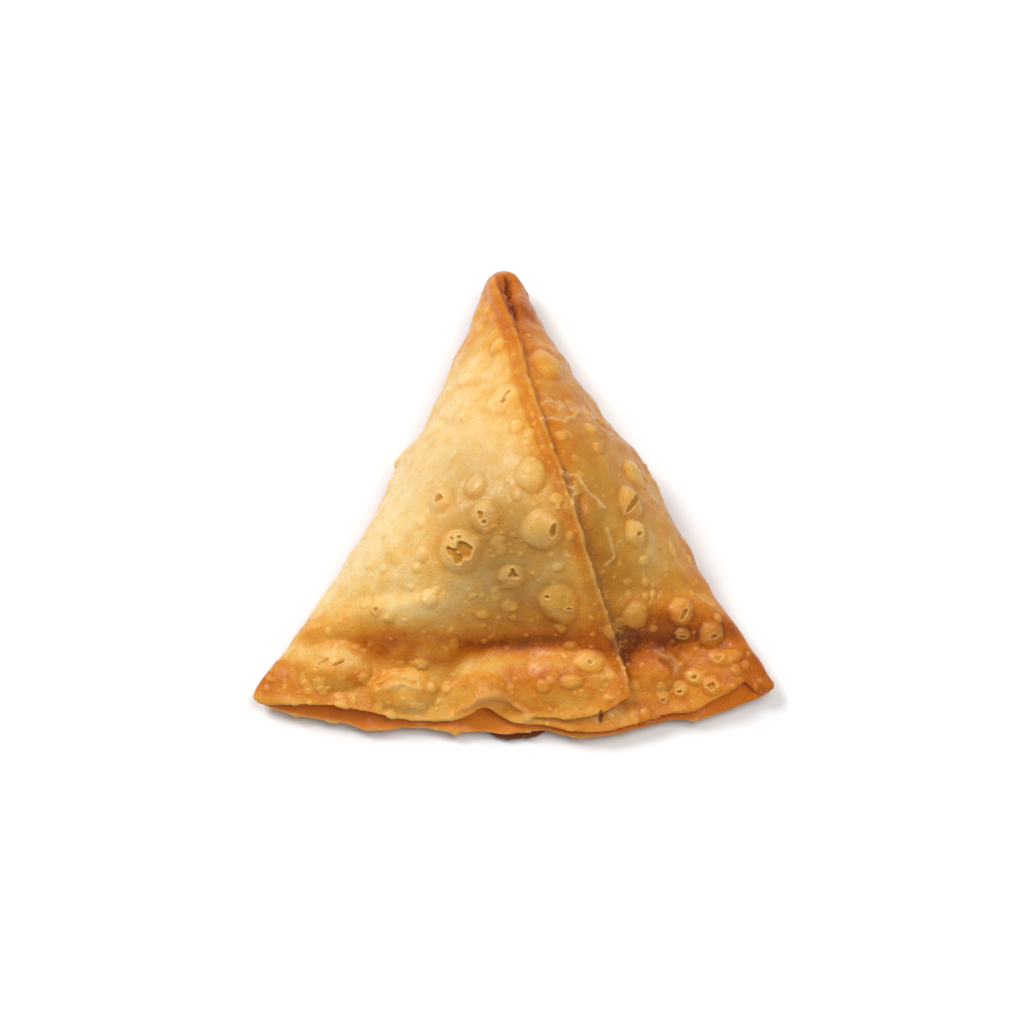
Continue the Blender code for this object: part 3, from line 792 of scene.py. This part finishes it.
def colour_by_frying(skin):
    """How far each place has browned, from pale (0) to dark brown (1), with a painted shadow beside
    the flap's free edge and a painted highlight along the hem's lip; how plainly the stuffing shows
    through the thin crust there, with the same painted shadow laid in; and painted shade over the
    pleat under the hem."""
    x, y, z = skin.co.T
    across, down = place(x, y - TIP_Y)
    front = smooth(skin.out[:, 2], -0.3, 0.15)
    from_seam = (x - through(SEAM, down)) * SEAM_LEAN
    inward = np.maximum(0.0, -from_seam)
    beyond = np.maximum(0.0, from_seam)
    on_flap = smooth(-from_seam, -0.15, 0.15) * front
    valley = (shape_share(across, down, x) - VALLEY_FLOOR) * SIDE_LEFT

    seam_fry = (1 - 0.5 * smooth(y, 28.0, 40.0)) * (1 - 0.35 * smooth(-y, 4.0, 14.0))
    band = smooth(inward, 0.4, 1.1) * (1 - smooth(inward, 1.8, 3.2))
    band = band * (1 + 0.8 * smooth(-y, 2.0, 14.0))
    flap_fry = 0.12 + (0.26 * hump(inward, 5.0) + 0.12 * band) * seam_fry
    flap_fry = flap_fry + 0.10 * hump(inward, 11.0) + 0.15 * smooth(y, 22.0, 38.0)
    right_fry = 0.44 + 0.06 * smooth(np.abs(across), 0.75, 1.0)
    # Painted shadow: darker in a strip on the right face just beyond the flap's free edge.
    right_fry = right_fry + 0.16 * hump(beyond, 2.2) + 0.14 * smooth(y, 20.0, 36.0)
    body_fry = right_fry + (flap_fry - right_fry) * on_flap
    wall = hump(np.minimum(0, valley + 1.0), 4.2)
    wall = wall * hump(np.maximum(0, valley + 1.0), 2.6)
    wall = wall * (1 - 0.45 * smooth(-x, 24.0, 34.0))
    body_fry = body_fry + 0.46 * wall * (1 - 0.60 * smooth(body_fry, 0.3, 0.6))
    hem_fry = 0.50 + 0.06 * (1 - on_flap) + 0.06 * hump(inward, 3.0) * on_flap
    hem_fry = hem_fry - 0.035 * swell(x, y - TIP_Y)
    # Painted highlight: paler along the hem's lip, most on the flap.
    hem_fry = hem_fry - (0.03 + 0.15 * on_flap) * smooth(down, 0.975, 0.99)
    fry = body_fry + (hem_fry - body_fry) * smooth(down, 0.885, 0.925)
    for *spot, amount in FRY_SPOTS:
        fry = fry + amount * soft_spot(skin, *spot)
    filling = np.zeros(len(x))
    for *spot, amount in FILLING_SPOTS:
        filling = filling + amount * soft_spot(skin, *spot)
    # Painted shadow: a dull olive-brown strip on the right face beside the flap's edge, laid in with
    # the stuffing's tone.
    beside = hump(beyond, 2.6) * (1 - on_flap) * smooth(-y, -4.0, 10.0)
    beside = beside * smooth(y, -34.0, -28.0)
    filling = np.maximum(filling, 0.9 * beside * front)
    left, right = sides(down)
    from_fold = np.minimum(x - left, right - x)
    back_fry = 0.50 + (fry - 0.42) * hump(from_fold, 4.0)
    skin.fried = np.clip(back_fry + (fry - back_fry) * front, 0.0, 0.94)
    skin.filling = np.clip(filling, 0, 1)

    # Painted shade: near black-brown over the pleat under the middle of the hem.
    on_pleat = smooth(2.15 - z, 0.0, 0.2) * smooth(-y, 43.6, 44.3)
    on_pleat = on_pleat * (1 - smooth(np.abs(x - PLEAT[0]), 6.0, 7.0))
    skin.scorched = np.maximum(skin.scorched, on_pleat)


def fry(mesh):
    """Blisters and tears the fused skin, and writes what each place looks like onto it."""
    skin = Skin(mesh)
    rng = random.Random(11)
    for x, y, half_a, half_b, rise, turn in FLAP_BLISTERS + HEM_BLISTERS + RIGHT_BLISTERS:
        blister(skin, skin.above(x, y - 0.35 * rise), half_a, half_b, rise, turn, rng)
    scatter_blisters(skin, rng)
    uneven(skin)
    crease_and_fold(skin)
    for x, y, half_a, half_b, turn, lobes in HOLES:
        burst(skin, skin.above(x, y - 0.4), half_a, half_b, turn, lobes, rng)
    curled = skin.rim * (1 - skin.torn)
    skin.lift += 0.16 * curled - skin.pit
    skin.film = np.maximum(skin.film, 0.5 * curled)
    colour_by_frying(skin)
    moved = (skin.co + skin.out * skin.lift[:, None]) * MM
    mesh.vertices.foreach_set("co", moved.ravel())
    for name in MARKS:
        mesh.attributes.new(name, "FLOAT", "POINT").data.foreach_set("value", getattr(skin, name))
    mesh.update()
    return mesh


def thinned(mesh):
    """The same skin with fewer triangles where it is smooth."""
    return modified(mesh, "DECIMATE", {"ratio": min(1.0, SKIN_FACES / (2 * len(mesh.polygons)))})


# ---------------------------------------------------------------- materials
# The crust's colour by how far it has browned, with painted shadow and highlight added in, from 0 to
# 1.
FRIED_COLOURS = ((0.0, "#E9CC92"), (0.2, "#E1B464"), (0.4, "#D99838"), (0.58, "#CC7A1A"),
                 (0.74, "#B96006"), (0.88, "#964402"), (1.0, "#6E2C00"))
# Tones laid over it one after another: the mark that calls for each, its strength, the tone.
# Some are painted light: a highlight on the lit sides of blisters, a warm glow on their far
# sides, the shadow beside the flap's edge and shade in the cleft, cracks and over the pleat.
OVERLAYS = (("filling", 0.66, "#9C6C22"), ("dome", 0.28, "#F0BC58"), ("golden", 0.55, "#DC8C1A"),
            ("torn", 0.9, "#BE7E20"), ("film", 0.55, "#EECB88"), ("inside", 0.85, "#DE760A"),
            ("scorched", 0.95, "#6A2408"))
# Uneven frying: size in mm, detail, roughness, how far it shifts the frying.
UNEVEN = {"patches": (11, 2.0, 0.5, 0.42), "mottle": (2.6, 4.0, 0.6, 0.46),
          "grain": (0.55, 3.0, 0.65, 0.16)}
# Specks: size of the cells in mm, the speck's edge within its cell, share of cells with one.
SPECKS = ((1.2, 0.34, 0.40), (0.6, 0.40, 0.30))


def linear(code):
    """An sRGB hex colour as linear red, green, blue and alpha."""
    parts = [int(code[i:i + 2], 16) / 255 for i in (1, 3, 5)]
    return [p / 12.92 if p <= 0.04045 else ((p + 0.055) / 1.055) ** 2.4 for p in parts] + [1.0]


def per_mm(size):
    """A texture's scale for features of this size in millimetres on Object coordinates."""
    return 1.0 / (size * MM)


def add(tree, kind, settings=None, links=None):
    """Adds a shader node with its settings and links. A setting is one of the node's properties
    or a socket's level; sockets go by name or by number."""
    node = tree.nodes.new(kind)
    for key, value in (settings or {}).items():
        if isinstance(key, str) and key not in node.inputs:
            setattr(node, key, value)
        else:
            node.inputs[key].default_value = value
    for key, source in (links or {}).items():
        tree.links.new(source, node.inputs[key])
    return node


def started(name, levels):
    """A new material, its node tree, and its shader with these levels on its own sockets."""
    material = bpy.data.materials.new(name)
    material.use_nodes = True
    tree = material.node_tree
    shader = tree.nodes["Principled BSDF"]
    for socket, level in levels.items():
        shader.inputs[socket].default_value = level
    return material, tree, shader


def fried_wheat_dough():
    """Wheat dough cooked in deep oil: an oil-glazed, slightly translucent gold-brown crust. It gives
    a soft warm glow at thin blisters, partly from that translucency and partly painted into its
    colour along with painted highlights, shadow and shade; a broken satin gloss; and pale specks
    where small bubbles rose."""
    material, tree, shader = started("fried_wheat_dough", {
        "IOR": 1.46, "Subsurface Weight": 0.22, "Subsurface Radius": (1.0, 0.48, 0.2),
        "Subsurface Scale": 1.6 * MM, "Specular IOR Level": 0.29})
    where = add(tree, "ShaderNodeTexCoord").outputs["Object"]
    marks = {name: add(tree, "ShaderNodeAttribute", {"attribute_name": name}).outputs["Fac"]
             for name in MARKS}

    noises = {}
    fried = marks["fried"]
    for name, (size, detail, roughness, weight) in UNEVEN.items():
        pattern = add(tree, "ShaderNodeTexNoise", {"Scale": per_mm(size), "Detail": detail,
                                                   "Roughness": roughness}, {"Vector": where})
        noises[name] = pattern.outputs["Fac"]
        centred = add(tree, "ShaderNodeMath", {"operation": "SUBTRACT", 1: 0.5}, {0: noises[name]})
        fried = add(tree, "ShaderNodeMath", {"operation": "MULTIPLY_ADD", 1: weight},
                    {0: centred.outputs[0], 2: fried}).outputs[0]

    # Tiny bubbles under the surface: pale specks, each a low bump. Only some cells hold one.
    falling = {"interpolation_type": "SMOOTHSTEP", "To Min": 1.0, "To Max": 0.0}
    layers = []
    for size, edge, share in SPECKS:
        cells = add(tree, "ShaderNodeTexVoronoi", {"Scale": per_mm(size), "Randomness": 1.0},
                    {"Vector": where})
        chance = add(tree, "ShaderNodeSeparateColor", None, {"Color": cells.outputs["Color"]})
        chosen = add(tree, "ShaderNodeMapRange", {**falling, "From Min": share,
                                                  "From Max": share + 0.1},
                     {"Value": chance.outputs[0]})
        speck = add(tree, "ShaderNodeMapRange", {**falling, "From Min": edge * 0.45,
                                                 "From Max": edge},
                    {"Value": cells.outputs["Distance"]})
        layers.append(add(tree, "ShaderNodeMath", {"operation": "MULTIPLY"},
                          {0: speck.outputs[0], 1: chosen.outputs[0]}).outputs[0])
    speckle = add(tree, "ShaderNodeMath", {"operation": "MAXIMUM"},
                  {0: layers[0], 1: layers[1]}).outputs[0]

    # Creases get painted shade, a darker tone; specks and the thin tops of blisters stay paler.
    for mark, weight in ((marks["crease"], 0.10), (speckle, -0.05), (marks["dome"], -0.10)):
        fried = add(tree, "ShaderNodeMath", {"operation": "MULTIPLY_ADD", 1: weight},
                    {0: mark, 2: fried}).outputs[0]
    ramp = add(tree, "ShaderNodeValToRGB", None, {"Fac": fried})
    stops = ramp.color_ramp.elements
    while len(stops) < len(FRIED_COLOURS):
        stops.new(0.5)
    for stop, (position, code) in zip(stops, FRIED_COLOURS):
        stop.position = position
        stop.color = linear(code)
    colour = ramp.outputs["Color"]
    for mark, strength, code in OVERLAYS:
        amount = add(tree, "ShaderNodeMath", {"operation": "MULTIPLY", 1: strength}, {0: marks[mark]})
        colour = add(tree, "ShaderNodeMix", {"data_type": "RGBA", 7: linear(code)},
                     {0: amount.outputs[0], 6: colour}).outputs[2]
    tree.links.new(colour, shader.inputs["Base Color"])

    gloss = add(tree, "ShaderNodeMapRange", {"interpolation_type": "SMOOTHSTEP", "From Min": 0.35,
                                             "From Max": 0.65, "To Min": 0.26, "To Max": 0.45},
                {"Value": noises["mottle"]})
    tree.links.new(gloss.outputs[0], shader.inputs["Roughness"])

    relief = add(tree, "ShaderNodeMath", {"operation": "MULTIPLY", 1: 0.35},
                 {0: noises["grain"]}).outputs[0]
    for pattern, weight in ((speckle, 0.42), (noises["mottle"], 0.50)):
        relief = add(tree, "ShaderNodeMath", {"operation": "MULTIPLY_ADD", 1: weight},
                     {0: pattern, 2: relief}).outputs[0]
    bump = add(tree, "ShaderNodeBump", {"Strength": 0.7, "Distance": 0.22 * MM}, {"Height": relief})
    tree.links.new(bump.outputs["Normal"], shader.inputs["Normal"])
    return material


def dried_dough_strands():
    """Dried strands of dough: thin, pale and dull, so that they catch the light as fine lines."""
    material, tree, shader = started("dried_dough_strands", {
        "Roughness": 0.6, "Subsurface Weight": 0.3, "Subsurface Radius": (1.0, 0.6, 0.3),
        "Subsurface Scale": 0.4 * MM})
    where = add(tree, "ShaderNodeTexCoord").outputs["Object"]
    grain = add(tree, "ShaderNodeTexNoise", {"Scale": per_mm(1.5), "Detail": 2.0}, {"Vector": where})
    colour = add(tree, "ShaderNodeMix", {"data_type": "RGBA", 6: linear("#B8884A"),
                                         7: linear("#DDB678")}, {0: grain.outputs["Fac"]})
    tree.links.new(colour.outputs[2], shader.inputs["Base Color"])
    return material


# ---------------------------------------------------------------- studio, in metres
def studio():
    """A plain pale floor, an even white surround and two soft lamps."""
    bpy.context.scene.view_settings.view_transform = "Standard"
    bm = bmesh.new()
    bmesh.ops.create_grid(bm, x_segments=1, y_segments=1, size=3.0)
    floor = linked("floor", as_mesh("floor", bm))
    paper = started("studio_paper", {"Base Color": (0.9, 0.9, 0.9, 1)})[0]
    floor.data.materials.append(paper)
    world = bpy.data.worlds.new("studio")
    bpy.context.scene.world = world
    world.use_nodes = True
    surround = world.node_tree.nodes["Background"]
    surround.inputs["Color"].default_value = (1, 1, 1, 1)
    surround.inputs["Strength"].default_value = 0.36
    for name, spot, size, power in (("key", (-0.45, 0.30, 0.70), 0.30, 4.8),
                                    ("top", (0.25, 0.02, 0.86), 0.50, 3.5)):
        light = bpy.data.lights.new(name, "AREA")
        light.energy = power
        light.size = size
        lamp = linked(name, light)
        lamp.location = spot
        lamp.rotation_euler = (-Vector(spot)).to_track_quat("-Z", "Y").to_euler()


def camera():
    """Looks down on the front from the hem's side."""
    data = bpy.data.cameras.new("camera")
    data.lens = 85          # mm
    cam = linked("camera", data)
    elevation = math.radians(70)
    target = Vector((-0.0003, -0.0056, 0.010))
    distance = 0.4506
    cam.location = target + distance * Vector((0, -math.cos(elevation), math.sin(elevation)))
    cam.rotation_euler = (target - cam.location).to_track_quat("-Z", "Y").to_euler()
    bpy.context.scene.camera = cam


camera()
studio()
skin = thinned(fry(main_skin()))
skin.shade_smooth()
skin.materials.clear()
skin.materials.append(fried_wheat_dough())
crust = linked("crust", skin)
strand_mesh = frayed_strands(bvhtree.BVHTree.FromPolygons([v.co for v in skin.vertices],
                                                          [p.vertices for p in skin.polygons]))
strand_mesh.shade_smooth()
strand_mesh.materials.append(dried_dough_strands())
strands = linked("frayed_strands", strand_mesh)
for piece in (crust, strands):
    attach(piece, "root")
    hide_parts("samosa")
